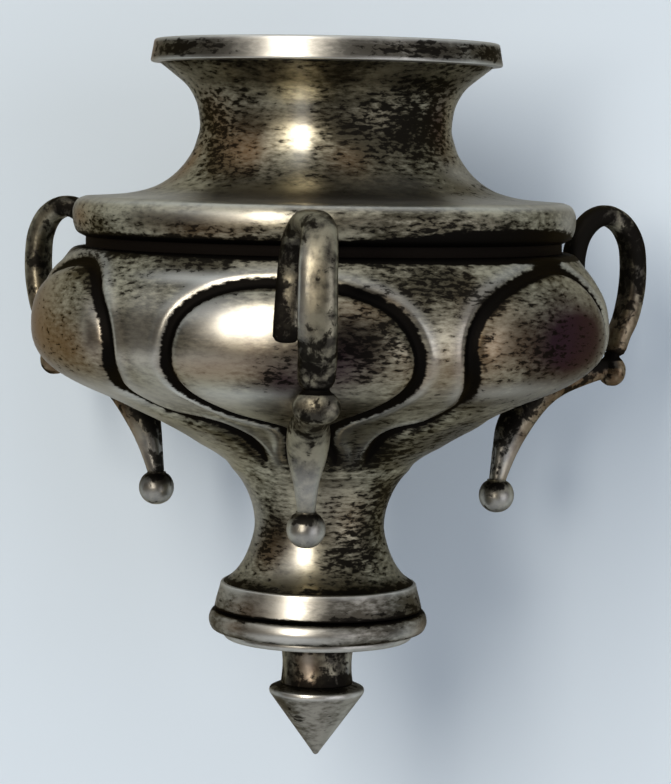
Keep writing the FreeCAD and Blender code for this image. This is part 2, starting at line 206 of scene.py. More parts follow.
def blendColours(tree, factor, first, second):
    node = addNode(tree, "ShaderNodeMix", {"data_type": "RGBA"}, links={0: factor})
    for socket, colour in ((node.inputs[6], first), (node.inputs[7], second)):
        if isinstance(colour, str):
            socket.default_value = linear(colour)
        else:
            tree.links.new(colour, socket)
    return node.outputs[2]


def calculate(tree, operation, first, second, third=None):
    node = addNode(tree, "ShaderNodeMath", {"operation": operation})
    for i, term in enumerate((first, second, third)):
        if term is None:
            continue
        if isinstance(term, (int, float)):
            node.inputs[i].default_value = term
        else:
            tree.links.new(term, node.inputs[i])
    return node.outputs[0]


def silverFinish(name, look):
    material = bpy.data.materials.new(name)
    material.use_nodes = True
    tree = material.node_tree
    tree.nodes.clear()
    place = addNode(tree, "ShaderNodeTexCoord").outputs["Object"]
    flat = addNode(tree, "ShaderNodeMapping", inputs={"Scale": look["speckStretch"]},
                   links={"Vector": place}).outputs[0]
    speck = addNode(tree, "ShaderNodeTexNoise",
                    inputs={"Scale": 1 / (look["speckSize"] * mm), "Detail": 4.0, "Roughness": 0.62,
                            "Distortion": 0.35}, links={"Vector": flat}).outputs[0]
    patch = addNode(tree, "ShaderNodeTexNoise",
                    inputs={"Scale": 1 / (look["patchSize"] * mm), "Detail": 3.0, "Roughness": 0.5},
                    links={"Vector": place}).outputs[0]
    grain = addNode(tree, "ShaderNodeTexNoise",
                    inputs={"Scale": 1 / (look["grainSize"] * mm), "Detail": 5.0, "Roughness": 0.7},
                    links={"Vector": flat}).outputs[0]
    layer = {key: addNode(tree, "ShaderNodeAttribute", {"attribute_name": key}).outputs["Fac"]
             for key in layerNames}
    # black sulphide: specks thicken where the layer of tarnish and painted shade is strong; that layer
    # also carries painted dark reflections
    density = calculate(tree, "MULTIPLY_ADD", patch, look["patchPull"], speck)
    density = calculate(tree, "MULTIPLY_ADD", layer["tarnishAndShade"], look["tarnishPull"], density)
    density = calculate(tree, "MULTIPLY_ADD", layer["wornAndHighlight"], look["wornPull"], density)
    black = addNode(tree, "ShaderNodeMapRange", {"interpolation_type": "SMOOTHSTEP"},
                    {"From Min": look["speckFrom"],
                     "From Max": look["speckFrom"] + look["speckSoft"]},
                    {"Value": density}).outputs[0]
    # a groove's black has an edge that the specks fray
    frayed = calculate(tree, "MULTIPLY_ADD", speck, look["lineFray"], layer["groove"])
    line = addNode(tree, "ShaderNodeMapRange", {"interpolation_type": "SMOOTHSTEP"},
                   {"From Min": look["lineFrom"], "From Max": 1.0}, {"Value": frayed}).outputs[0]
    black = calculate(tree, "MAXIMUM", calculate(tree, "MULTIPLY", black, look["speckMost"]), line)
    # a grey film that lies between the specks, mottled by old pitting
    mottle = addNode(tree, "ShaderNodeTexNoise",
                     inputs={"Scale": 1 / (look["mottleSize"] * mm), "Detail": 3.0,
                             "Roughness": 0.6}, links={"Vector": flat}).outputs[0]
    cloud = calculate(tree, "MULTIPLY_ADD", mottle, look["mottlePull"], patch)
    cloud = calculate(tree, "MULTIPLY_ADD", layer["tarnishAndShade"], look["filmPull"], cloud)
    film = addNode(tree, "ShaderNodeMapRange", {"interpolation_type": "SMOOTHSTEP"},
                   {"From Min": look["filmFrom"], "From Max": look["filmTo"]},
                   {"Value": cloud}).outputs[0]
    colour = blendColours(tree, film, look["bright"], look["dull"])
    # the polished colour comes in where silver is rubbed and where highlights and pale reflections are
    # painted
    colour = blendColours(tree, layer["wornAndHighlight"], colour, look["polishedAndHighlight"])
    # the brown colour comes in for toning and for painted brown reflections
    colour = blendColours(tree, layer["warmToneAndReflection"], colour, look["tonedAndReflectedBrown"])
    # the deep plum colour comes in for toning and for painted dark reflections
    colour = blendColours(tree, layer["plumToneAndDarkReflection"], colour, look["deep"])
    colour = blendColours(tree, calculate(tree, "MULTIPLY", grain, look["grainShade"]), colour,
                          look["black"])
    colour = blendColours(tree, black, colour, look["black"])
    rough = calculate(tree, "MULTIPLY_ADD", black, look["roughBlack"], look["rough"])
    rough = calculate(tree, "MULTIPLY_ADD", grain, look["roughGrain"], rough)
    rough = calculate(tree, "MULTIPLY_ADD", layer["wornAndHighlight"], look["roughWorn"], rough)
    dents = addNode(tree, "ShaderNodeTexNoise",
                    inputs={"Scale": 1 / (look["dentSize"] * mm), "Detail": 1.0},
                    links={"Vector": place}).outputs[0]
    bumpDents = addNode(tree, "ShaderNodeBump",
                        inputs={"Strength": 1.0, "Distance": look["dentDeep"] * mm},
                        links={"Height": dents})
    height = calculate(tree, "MULTIPLY_ADD", black, look["blackSink"], grain)
    bumpGrain = addNode(tree, "ShaderNodeBump",
                        inputs={"Strength": 0.6, "Distance": look["grainDeep"] * mm},
                        links={"Height": height, "Normal": bumpDents.outputs[0]})
    shader = addNode(tree, "ShaderNodeBsdfPrincipled",
                     inputs={"Metallic": 1.0, "Specular Tint": linear(look["edgeTint"])},
                     links={"Base Color": colour, "Roughness": rough,
                            "Normal": bumpGrain.outputs[0]})
    addNode(tree, "ShaderNodeOutputMaterial", links={"Surface": shader.outputs[0]})
    return material


wornSilver = {  # sizes and depths in mm
    # polished is rubbed silver and painted highlight, toned is brown toning and painted brown
    # reflection, deep is plum toning and painted dark reflection
    "bright": "#aea790", "dull": "#4b4638", "polishedAndHighlight": "#dedbd2", "tonedAndReflectedBrown": "#856544",
    "deep": "#33222a", "black": "#13110f", "grainShade": 0.25,
    "rough": 0.27, "roughBlack": 0.3, "roughGrain": 0.12, "roughWorn": -0.05, "blackSink": -0.35,
    "speckSize": 1.7, "speckStretch": (1.0, 1.0, 2.8), "speckFrom": 0.76, "speckSoft": 0.11,
    "speckMost": 0.9, "filmFrom": 0.7, "filmTo": 1.11,
    "patchSize": 17.0, "patchPull": 0.32, "mottleSize": 1.7, "mottlePull": 0.75,
    "tarnishPull": 0.27, "wornPull": -0.35, "filmPull": 0.35, "lineFray": 0.8, "lineFrom": 0.78,
    "edgeTint": "#c4bdb2", "dentSize": 15.0, "dentDeep": 0.7, "grainSize": 0.45, "grainDeep": 0.02,
}

# raised silver, hand hammered and planished: soft dents, streaky black sulphide specks
raisedSilver = silverFinish("raisedSilverTarnished", wornSilver)
# turned silver bands, rubbed by handling: brighter, with broader clouds of grey film
turnedSilver = silverFinish("turnedSilverPolished", {
    **wornSilver, "bright": "#9b968a", "dull": "#4b463c", "speckFrom": 0.8, "rough": 0.32,
    "patchSize": 9.0, "dentSize": 10.0, "dentDeep": 0.25, "speckSize": 2.2})
# cast silver left black from the mould, with painted shade on the handles; bright where chains have
# rubbed it and where highlights are painted
castSilver = silverFinish("castSilverBlackenedAndShaded", {
    **wornSilver, "bright": "#8f8874", "dull": "#3f3b34", "speckStretch": (1.0, 1.0, 1.0),
    "speckSize": 2.4, "speckFrom": 0.7, "rough": 0.3, "patchSize": 6.0, "dentSize": 5.0,
    "dentDeep": 0.35, "grainDeep": 0.05})
# silver in a recess that no cloth reaches: nearly black, dull, from tarnish and from the recess's shade
# painted in
recessTarnishAndShade = silverFinish("recessSilverTarnishAndShade", {
    **wornSilver, "bright": "#221f1c", "dull": "#141210", "black": "#1f1b18",
    "speckFrom": 0.6, "rough": 0.45})
# turned brass washer and nut, dulled brown
dullBrass = silverFinish("turnedBrassDull", {
    **wornSilver, "bright": "#a88a50", "dull": "#6f5a34", "polishedAndHighlight": "#c9ad70", "speckFrom": 0.8,
    "patchSize": 3.0, "speckSize": 1.2})
# spun steel pan, matt with soot and heat
sootySteel = silverFinish("spunSteelSooty", {
    **wornSilver, "bright": "#5a554f", "dull": "#332f2c", "speckFrom": 0.66, "rough": 0.5,
    "patchSize": 8.0, "grainDeep": 0.06})

print("finishes made")


# mouth, neck and shoulder

rimTop = levelOf("mouth_rim", 1)
rimRadius = outRadius("mouth_rim")
rim = {
    "runs": [
        [(28.4, rimTop - 0.05), (rimRadius - 0.75, rimTop)],
        [(rimRadius - 0.75, rimTop), (rimRadius - 0.05, rimTop - 4.0)],
        [(rimRadius - 0.05, rimTop - 4.0), (29.0, rimTop - 4.15)],
        [(29.0, rimTop - 4.15), (28.4, rimTop - 3.6)],
        [(28.4, rimTop - 3.6), (28.4, rimTop - 0.05)],
    ],
    "edgeRound": 0.45, "segments": 256,
    # on the rim the worn patch at -10 degrees is a painted highlight and the warm patch at -80 a painted
    # brown reflection; the strong tarnish to both sides is tarnish and partly painted dark reflection;
    # the worn rings at the edges are wear
    "stains": {
        "tarnishAndShade": [(-52, 125, 26, 3, 0.95), (38, 125, 30, 3, 0.85), (75, 124.6, 16, 2.5, 0.6),
                    (150, 125, 30, 3, 0.5), (-140, 125, 30, 3, 0.45)],
        "wornAndHighlight": [(-10, 125, 14, 4, 0.65), (0, 122.7, 400, 0.5, 0.8), (0, 126.8, 400, 0.5, 0.8)],
        "warmToneAndReflection": [(-80, 125, 8, 3, 0.8)],
    },
}
spunPiece(rim, "rimBand", "vessel", ["mouth_rim"], turnedSilver)

neck = {
    "outside": [(29.3, 122.7), (26.6, 120.6), (24.5, 118.8), (23.3, 117), (22.6, 115.3),
                (22.2, 112.9), (22.15, 111.2), (22.6, 109.5), (23.2, 107.7), (24.1, 106.1),
                (25.4, 104.4), (27.3, 102.6), (30.0, 101.0), (34.0, 99.9), (42.2, 99.15)],
    "inside": [(41.2, 98.3), (33.6, 98.9), (29.3, 100.1), (26.6, 101.9), (24.5, 103.9),
               (23.1, 105.8), (22.2, 107.5), (21.5, 109.4), (21.15, 111.2), (21.2, 112.9),
               (21.6, 115.4), (22.5, 117.5), (23.7, 119.5), (25.9, 121.5), (28.35, 123.6)],
}
neck["runs"] = [
    neck["outside"], [neck["outside"][-1], neck["inside"][0]], neck["inside"],
    [neck["inside"][-1], (28.35, 125.6)], [(28.35, 125.6), (29.3, 125.6)],
    [(29.3, 125.6), neck["outside"][0]],
]
neck.update({
    "segments": 256, "step": 0.9, "edgeRound": 0.2,
    # on the neck the narrow worn streak at -7 degrees is a painted highlight and the worn patch at 70 a
    # painted pale reflection; the warm patches are painted brown reflections, most on the left, the plum
    # patches painted dark reflections; the tarnish patches at both sides are tarnish and partly painted
    # dark reflection; the worn ring at the foot is wear
    "stains": {
        "tarnishAndShade": [
            (44, 113, 24, 7, 0.65), (60, 112, 22, 6, 0.6), (14, 110, 10, 5, 0.2),
            (3, 113, 15, 4, 0.24), (-4, 104.5, 10, 2, 0.35), (-46, 114, 20, 6, 0.55),
            (-62, 112, 16, 6, 0.5), (-46, 106, 10, 3, 0.35), (-28, 103.5, 20, 1.6, 0.4),
            (50, 119, 20, 2, 0.6), (75, 103, 20, 3, 0.1), (150, 110, 40, 8, 0.5),
            (-140, 112, 40, 8, 0.5), (0, 123, 400, 1.2, 0.6), (0, 100, 400, 0.5, 0.3)],
        "wornAndHighlight": [(-7, 112, 4, 9, 0.4), (0, 99.6, 400, 0.8, 0.4), (24, 101.5, 20, 1.6, 0.3),
                 (70, 104, 12, 2, 0.35)],
        "warmToneAndReflection": [(-36, 108, 12, 4, 0.5), (-70, 105, 8, 3.5, 0.8), (-52, 113, 12, 5, 0.35),
                 (12, 106, 8, 2.5, 0.35), (-28, 107, 6, 3, 0.3), (70, 112, 12, 6, 0.2)],
        "plumToneAndDarkReflection": [(64, 113, 8, 6, 0.7), (-62, 117, 12, 3, 0.3)],
    },
})
spunPiece(neck, "neckFlare", "vessel", ["neck_shell"], raisedSilver)

beadRadius = outRadius("shoulder_bead")
bead = {
    "runs": [
        [(42.1, 99.2), (43.3, 98.7), (beadRadius - 0.15, 97.4), (beadRadius, 95.9),
         (beadRadius - 0.2, 94.4), (beadRadius - 0.8, 93.0), (42.2, 92.3)],
        [(42.2, 92.3), (42.05, 99.15)], [(42.05, 99.15), (42.1, 99.2)],
    ],
    "segments": 256, "edgeRound": 0.0, "step": 0.5,
    # on the bead the tarnish ring and the groove ring at its foot are tarnish and painted shade under
    # the bead, and the groove patch at 50 degrees is painted shade on the side away from the window
    # lamp; the worn patches at -20 and 76 degrees are painted highlights, the warm patches painted brown
    # reflections; the worn ring at the top is wear
    "stains": {
        "tarnishAndShade": [
            (-60, 94.6, 16, 2, 0.55), (-28, 95.5, 14, 2.2, 0.4), (-12, 94, 10, 1.6, 0.5),
            (-5, 97, 8, 1.5, 0.4), (30, 94.5, 18, 2, 0.4), (48, 95, 20, 2.5, 0.4),
            (0, 92.4, 400, 0.9, 1.3), (150, 95, 40, 3, 0.5), (-140, 95, 40, 3, 0.5)],
        "groove": [(0, 91.9, 400, 1.2, 1.4), (50, 93.6, 32, 2.0, 1.1)],
        "wornAndHighlight": [(-20, 96.8, 16, 1.0, 0.6), (0, 98.9, 400, 0.6, 0.5), (76, 96, 9, 3, 0.4)],
        "warmToneAndReflection": [(-70, 96, 8, 2, 0.7), (-22, 94.6, 12, 1.5, 0.35)],
    },
}
spunPiece(bead, "shoulderBead", "vessel", ["shoulder_bead"], raisedSilver)

collar = {
    "runs": [[(41.0, 90.45), (41.9, 90.45)], [(41.9, 90.45), (41.9, 98.25)],
             [(41.9, 98.25), (41.0, 98.25)], [(41.0, 98.25), (41.0, 90.45)]],
    "edgeRound": 0.15, "step": 1.2,
    # black all over the recess: tarnish and painted shade under the bead
    "stains": {"groove": [(0, 94.4, 400, 9, 1.4)]},
}
spunPiece(collar, "shoulderRecess", "vessel", ["shoulder_collar"], recessTarnishAndShade)
print("mouth, neck and shoulder made")


# bowl with its chased lobes

bowl = {
    "outside": [(42.2, 90.42), (44.0, 90.2), (45.7, 88.3), (47.4, 86.2), (48.7, 84.1),
                (49.5, 82.3), (50.0, 80.5), (50.3, 77.9), (50.2, 75.2), (49.7, 73.4),
                (48.8, 71.9), (47.4, 70.5), (45.5, 69.1), (42.5, 67.5), (38.6, 65.8), (35.3, 64.3),
                (32.4, 62.9), (28.0, 60.8), (24.1, 58.7), (20.9, 56.7), (18.4, 54.7), (16.8, 53.0),
                (15.7, 51.5)],
    "inside": [(14.6, 51.5), (15.6, 53.3), (19.9, 57.3), (27.4, 61.9), (37.9, 67.0), (44.4, 70.6),
               (47.3, 73.8), (48.5, 77.2), (47.9, 81.2), (45.6, 85.6), (42.9, 89.2), (41.2, 89.45)],
    "segments": 612, "step": 0.58, "insideStep": 1.9,
    "lobeRise": 1.0, "crownRun": 5.5, "crownPower": 2.2,  # how high a lobe is, and how soon
    "grooveDeep": 0.75, "grooveWide": 1.15, "lineHalf": 1.2,
    "rimRise": 0.25, "rimOut": 2.2, "rimWide": 1.2, "lineRamp": 1.6,
    "fadeFrom": 52.8, "fadeRun": 4.0, "lineEnds": 0.3,  # the chasing dies out at the stem
    # where a line swells or thins: level, half height, how much
    "handleSwell": (66, 4, 0.45), "gapSwell": (72, 3.5, 0.25), "gapCrease": (64.6, 2.2, 0.6),
    "creaseWide": 26,  # degrees to each side of the gap lobe's middle
    # painted shade and tarnish under the shoulder, a little higher on one side: it reaches lower on the
    # right, away from the window lamp; and tarnish that stays in the grooves
    "shoulderShadeEdge": 90.85, "shadeSway": 0.5, "swayTurn": 10, "shadeHalf": 1.1,
    "shoulderTarnishAndShade": (90.4, 1.0, 0.9), "grooveTarnish": 0.45, "groovePower": 0.3, "rimWorn": 0.3,
}
# each lobe's outline from its left foot over the top to its right foot: (degrees, level)
handleLobe = [(-15, 52.6), (-11.8, 56), (-8.7, 58.2), (-8.1, 60.3), (-10.1, 61.6), (-13.7, 62.4),
              (-18.3, 63.2), (-23.3, 64.6), (-25.8, 66.2), (-27.2, 68.2), (-27.5, 70.8), (-27.1, 73.5),
              (-26.4, 76.8), (-25, 80.1), (-22, 82.9), (-18.3, 84.7), (-14.5, 85.7), (-10.7, 86.2),
              (-5, 86.4), (1, 86.2), (7.6, 85.5), (11.3, 84.6), (14.9, 83.3), (17.9, 81.3),
              (20.1, 78.7), (21.4, 76.2), (22, 73.8), (22.1, 71.6), (21.6, 69.5), (20.2, 67.5),
              (17.8, 65.8), (14.3, 64.3), (10.4, 63), (7.4, 61.7), (5.9, 60), (6.4, 58), (9.5, 56),
              (13, 52.6)]
gapLobe = [(-27, 51.6), (-29.2, 53.4), (-30.8, 55.5), (-31.6, 57.1), (-32.3, 58.6), (-31.8, 59.9),
           (-30.6, 60.8), (-28.2, 61.4), (-24.4, 61.9), (-21.6, 62.6), (-20.4, 64), (-20.4, 65.8),
           (-23.3, 68.3), (-26.4, 71.9), (-27.7, 75.3), (-27.3, 78.5), (-25, 81.7), (-20.8, 84.2),
           (-14.5, 86.3), (-6.5, 87.8), (0.5, 88.4), (5.3, 88), (8.7, 86.9), (11.6, 85.2),
           (14.2, 83), (16.8, 80.6), (18.5, 77.6), (18.8, 74.5), (17.1, 71), (13, 68), (9.8, 65.8),
           (9.6, 64.2), (13.5, 62.9), (20, 62.3), (25.4, 61.9), (28.4, 61.3), (30.7, 60.3),
           (32.6, 59), (32.9, 57.4), (32.2, 55.6), (31.4, 53.6), (30, 51.6)]


def signedDistance(azimuth, along, radius, outline, alongAt):
    # distance in mm on the wall to the outline, less than nought inside it
    az = np.array([p[0] for p in outline])
    al = np.array([alongAt(p[1]) for p in outline])
    best = np.full(len(azimuth), 1e9)
    for i in range(len(az) - 1):
        ax = np.radians(azimuth - az[i]) * radius
        ay = along - al[i]
        bx = np.radians(az[i + 1] - az[i]) * radius
        by = al[i + 1] - al[i]
        t = np.clip((ax * bx + ay * by) / np.maximum(bx * bx + by * by, 1e-9), 0, 1)
        best = np.minimum(best, np.hypot(ax - t * bx, ay - t * by))
    inside = np.zeros(len(azimuth), bool)
    for i in range(len(az)):
        j = (i + 1) % len(az)
        if al[i] == al[j]:
            continue
        crosses = (al[i] > along) != (al[j] > along)
        inside ^= crosses & (azimuth < az[i] + (along - al[i]) * (az[j] - az[i]) / (al[j] - al[i]))
    return np.where(inside, -best, best)


nearLine = 0.02  # mm, a vertex this near the outside line is on it


def makeBowl(spec):
    outside = profileLine([spec["outside"]], spec["step"])
    inside = profileLine([spec["inside"]], spec["insideStep"])
    line = outside + inside + [outside[0]]
    bm = bmesh.new()
    spinProfile(bm, line, spec["segments"], True)
    piece = toMesh(bm, "bowlChased", "vessel", ["bowl_shell"], raisedSilver)
    azimuth, level, radius = places(piece)
    rows = np.array(outside)
    run = np.concatenate([[0], np.cumsum(np.hypot(*np.diff(rows, axis=0).T))])
    slope = np.gradient(rows, run, axis=0)
    nearest = np.argmin(np.abs(radius[:, None] - rows[None, :, 0])
                        + np.abs(level[:, None] - rows[None, :, 1]), axis=1)
    onOutside = (np.abs(radius - rows[nearest, 0]) + np.abs(level - rows[nearest, 1])) < nearLine
    along = run[nearest]

    def alongAt(z):
        return float(np.interp(-z, -rows[:, 1], run))

    # the pattern repeats three times round, so it is worked out once on a grid of one third
    columns = spec["segments"] // 3
    turns, runs = np.meshgrid(np.arange(columns) * 120 / columns - 60, np.arange(len(rows)))
    third, runs = turns.ravel(), runs.ravel()
    wall, height = run[runs], rows[runs, 1]
    patternLift = np.zeros(len(third))
    patternGroove = np.zeros(len(third))
    patternRim = np.zeros(len(third))
    patternLine = np.zeros(len(third))
    fade = np.clip((height - spec["fadeFrom"]) / spec["fadeRun"], 0, 1)
    for lobe, middle in ((handleLobe, 0), (gapLobe, 60), (gapLobe, -60)):
        outline = [(middle + a, z) for a, z in smoothRun(lobe, 0.6)]
        far = signedDistance(third, wall, rows[runs, 0], outline, alongAt)
        deep = np.clip(-far / spec["crownRun"], 0, 1)
        patternLift += spec["lobeRise"] * (1 - (1 - deep) ** spec["crownPower"]) * fade
        swell = spec["handleSwell" if lobe is handleLobe else "gapSwell"]
        firm = fade * (1 + softPatch(height, swell))
        if lobe is gapLobe:  # its line thins to a crease under the belly, before it flares
            at, half, less = spec["gapCrease"]
            near = np.abs(third - middle) < spec["creaseWide"]
            firm *= 1 - less * near * np.exp(-((height - at) / half) ** 4)
        patternGroove = np.maximum(patternGroove, np.exp(-(far / spec["grooveWide"]) ** 2) * firm)
        patternLine = np.maximum(patternLine, 0.5 + (spec["lineHalf"] * firm - np.abs(far))
                                 / spec["lineRamp"])
        patternRim = np.maximum(patternRim, np.exp(-((far - spec["rimOut"]) / spec["rimWide"]) ** 2)
                                * firm)
    shape = (len(rows), columns)
    column = np.round((azimuth + 60) % 120 / 120 * columns).astype(int) % columns
    lift, groove, rimLight, line = (
        grid.reshape(shape)[nearest, column]
        for grid in (patternLift, patternGroove, patternRim, np.clip(patternLine, 0, 1)))
    lift += spec["rimRise"] * rimLight - spec["grooveDeep"] * groove
    lift = np.where(onOutside, lift, 0)
    normalR = -slope[nearest, 1]
    normalZ = slope[nearest, 0]
    newRadius = radius + lift * normalR
    newLevel = level + lift * normalZ
    co = np.stack([newRadius * np.sin(np.radians(azimuth)), -newRadius * np.cos(np.radians(azimuth)),
                   newLevel + tipLevel / mm], 1) * mm
    piece.data.vertices.foreach_set("co", co.astype(np.float32).ravel())
    piece.data.update()
    groove = np.where(onOutside, groove, 0)
    line = np.where(onOutside, line, 0)
    fadeLow = np.clip((level - spec["fadeFrom"]) / spec["fadeRun"], 0, 1)
    # painted shade under the shoulder bead, reaching lower on the right, away from the window lamp
    shoulderShadeEdge = spec["shoulderShadeEdge"] - spec["shadeSway"] * np.sin(np.radians(azimuth + spec["swayTurn"]))
    stain(piece, spec["stains"], {
        "groove": (line * (fadeLow > spec["lineEnds"])
                   + np.exp(-((level - shoulderShadeEdge) / spec["shadeHalf"]) ** 4)),
        "tarnishAndShade": (spec["grooveTarnish"] * groove ** spec["groovePower"]
                    + softPatch(level, spec["shoulderTarnishAndShade"])),
        "wornAndHighlight": np.where(onOutside, spec["rimWorn"] * rimLight * (1 - groove), 0),
    })
    return piece


# on the bowl the worn patches are painted highlights and pale reflections, the warm patches painted
# brown reflections, strongest on the left, and the plum patches painted dark reflections on the right
# and beside the front handle; the tarnish patches are tarnish and partly painted dark reflection
bowl["stains"] = {
    "tarnishAndShade": [(-52, 87.5, 14, 2.2, 0.5), (-40, 84.5, 6, 3, 0.3), (-22, 88, 14, 1.8, 0.3),
                (24, 86.3, 14, 2.6, 0.6), (36, 84, 8, 2.4, 0.4), (10, 76, 10, 6, 0.75),
                (-18, 77, 8, 2, 0.2), (-5, 71.5, 4, 3.5, 0.6), (8, 56, 25, 4, 0.5),
                (40, 57, 25, 5, 0.5), (60, 77, 14, 6, 0.15), (43, 75, 14, 8, 0.38),
                (-55, 70, 12, 3, 0.15), (70, 66, 20, 3, 0.4), (150, 80, 30, 9, 0.3),
                (-150, 78, 30, 9, 0.3)],
    "warmToneAndReflection": [(36, 77, 7, 8, 0.3), (-74, 77, 14, 8, 1.05), (-52, 74, 12, 5, 0.5),
             (-18, 72.5, 12, 2.6, 0.5), (26, 72, 10, 4, 0.4), (10, 83, 8, 2.5, 0.3),
             (-10, 75, 8, 3, 0.25), (44, 76, 8, 5, 0.25)],
    "plumToneAndDarkReflection": [(60, 76.5, 13, 6.5, 1.6), (6, 74, 7, 6, 0.9), (-4, 70.5, 4, 2.8, 0.7)],
    "wornAndHighlight": [(-15, 80.8, 11, 3.2, 0.55), (-33, 76, 4, 7, 0.4), (-12, 78.5, 9, 2.2, 0.4),
             (-17, 74, 12, 2.0, 0.35), (-24, 86.8, 10, 0.9, 0.6), (-14, 67.5, 16, 2, 0.6),
             (50, 68.5, 20, 1.6, 0.5), (-55, 66.5, 25, 2.5, 0.7), (-45, 78, 3, 5, 0.35)],
}
makeBowl(bowl)
print("bowl chased")


# stem and foot

bandTop = levelOf("foot_band", 1)
stem = {
    "outside": [(15.7, 51.5), (14.2, 49.7), (12.9, 47.4), (11.9, 44.6), (11.5, 41.7), (11.7, 39.9),
                (12.4, 37.4), (13.5, 34.9), (15.0, 32.8), (16.9, bandTop)],
    "inside": [(15.8, bandTop), (14.0, 33.1), (12.6, 35.0), (11.4, 37.7), (10.7, 40.2), (10.5, 41.9),
               (10.9, 44.6), (11.9, 47.6), (13.2, 50.0), (14.6, 51.5)],
}
stem["runs"] = [stem["outside"], [stem["outside"][-1], stem["inside"][0]], stem["inside"],
                [stem["inside"][-1], stem["outside"][0]]]
stem.update({
    "edgeRound": 0.0,
    # on the stem the worn patches at -12 and -18 degrees are painted highlights and the one at -70 a
    # painted pale reflection; the warm patches are painted brown reflections; the tarnish at the sides
    # is tarnish and partly painted dark reflection
    "stains": {
        "tarnishAndShade": [(40, 42, 40, 9, 0.65), (20, 36, 20, 3, 0.6), (-50, 39, 25, 7, 0.6),
                    (0, 31.4, 400, 0.8, 1.0), (70, 48, 30, 4, 0.4), (150, 40, 50, 9, 0.4)],
        "wornAndHighlight": [(-12, 38.5, 12, 3, 0.5), (-18, 34.5, 12, 3, 0.3), (-70, 44, 14, 8, 0.4)],
        "warmToneAndReflection": [(-40, 38, 20, 4, 0.3), (30, 45, 20, 4, 0.2)],
        "plumToneAndDarkReflection": [(10, 47, 12, 5, 0.3)],
    },
})
spunPiece(stem, "stemWaist", "vessel", ["stem_shell"], raisedSilver)

bandRadius = outRadius("foot_band")
band = {
    "runs": [[(16.1, bandTop), (17.35, bandTop)],
             [(17.35, bandTop), (17.6, 30.2), (18.1, 28.4), (bandRadius, 26.65)],
             [(bandRadius, 26.65), (16.1, 26.65)], [(16.1, 26.65), (16.1, bandTop)]],
    "edgeRound": 0.3, "segments": 160,
    # on the band the worn patch at -12 degrees is a painted highlight and the warm patch a painted brown
    # reflection; the worn ring at the top is wear
    "stains": {
        "tarnishAndShade": [(-50, 28, 24, 1.6, 0.5), (30, 27.2, 26, 1.2, 0.8), (75, 28, 20, 2, 0.5),
                    (0, 26.5, 400, 0.5, 1.2), (160, 28, 50, 2, 0.5)],
        "wornAndHighlight": [(-12, 29, 15, 3, 0.5), (0, bandTop, 400, 0.5, 0.6)],
        "groove": [(0, 26.3, 400, 0.9, 1.2)],
        "warmToneAndReflection": [(-40, 28, 14, 2, 0.3)],
    },
}
spunPiece(band, "footBand", "vessel", ["foot_band"], turnedSilver)

ringRadius = outRadius("foot_ring")
ring = {
    "runs": [[(16.1, 26.4), (17.9, 26.45)],
             [(17.9, 26.45), (18.9, 26.1), (ringRadius, 25.0), (ringRadius, 24.1),
              (18.9, 23.0), (18.1, 22.6)],
             [(18.1, 22.6), (16.1, 22.6)], [(16.1, 22.6), (16.1, 26.4)]],
    "edgeRound": 0.2, "segments": 160, "step": 0.4,
    # on the ring the worn patches at -10 and 60 degrees are painted highlights and the warm patches
    # painted brown reflections
    "stains": {
        "tarnishAndShade": [(0, 26.6, 400, 0.5, 1.4), (45, 25.2, 26, 0.8, 0.3), (-65, 24.5, 10, 1, 0.2),
                    (0, 22.9, 400, 0.35, 0.9), (160, 24.5, 50, 2, 0.5)],
        "wornAndHighlight": [(-10, 24.5, 20, 1.4, 0.9), (60, 24, 14, 1, 0.3)],
        "groove": [(0, 26.7, 400, 0.55, 1.2)],
        "warmToneAndReflection": [(-45, 24.8, 10, 1, 0.4), (75, 24, 12, 1.5, 0.3)],
    },
}
spunPiece(ring, "footRing", "vessel", ["foot_ring"], turnedSilver)

plateLow = levelOf("base_plate", 0)
plateHole = 2.3
plate = {
    "runs": [[(plateHole, plateLow + 1.38), (16.9, plateLow + 1.38)],
             [(16.9, plateLow + 1.38), (16.9, plateLow + 0.7), (16.3, plateLow + 0.1)],
             [(16.3, plateLow + 0.1), (plateHole, plateLow + 0.02)],
             [(plateHole, plateLow + 0.02), (plateHole, plateLow + 1.38)]],
    "edgeRound": 0.2, "segments": 128,
    "stains": {"wornAndHighlight": [(0, plateLow + 0.6, 400, 0.8, 0.5)]},
}
spunPiece(plate, "footPlate", "vessel", ["base_plate"], turnedSilver)
print("stem and foot made")


# finial, its stud, nut and washer

coneTop = levelOf("finial_cone", 1)
discRadius = outRadius("finial_cone")
cone = {
    "runs": [[(0, 0.02), (0.35, 0.1), (0.75, 0.7)], [(0.75, 0.7), (discRadius - 0.05, 11.35)],
             [(discRadius - 0.05, 11.35), (discRadius, 11.8), (discRadius - 0.1, 12.25)],
             [(discRadius - 0.1, 12.25), (7.2, 12.8), (6.4, coneTop)], [(6.4, coneTop), (2.05, coneTop)],
             [(2.05, coneTop), (2.05, 7.1)], [(2.05, 7.1), (0, 7.1)]],
    "edgeRound": 0.18, "segments": 96, "step": 0.7,
    # on the cone the worn patch at -10 degrees is a painted highlight on the disc's edge and the one at
    # 62 a painted pale reflection; the worn ring on the edge is wear
    "stains": {
        "tarnishAndShade": [(-28, 8, 24, 3.2, 0.6), (25, 8.6, 22, 2.6, 0.6), (5, 4.5, 40, 2, 0.2),
                    (0, 12.8, 400, 0.5, 0.9), (160, 7, 60, 4, 0.4)],
        "wornAndHighlight": [(-10, 11.9, 25, 0.5, 0.9), (0, 11.7, 400, 0.35, 0.5), (62, 6, 12, 6, 0.4)],
    },
}
spunPiece(cone, "finialCone", "finial", ["finial_cone"], turnedSilver)

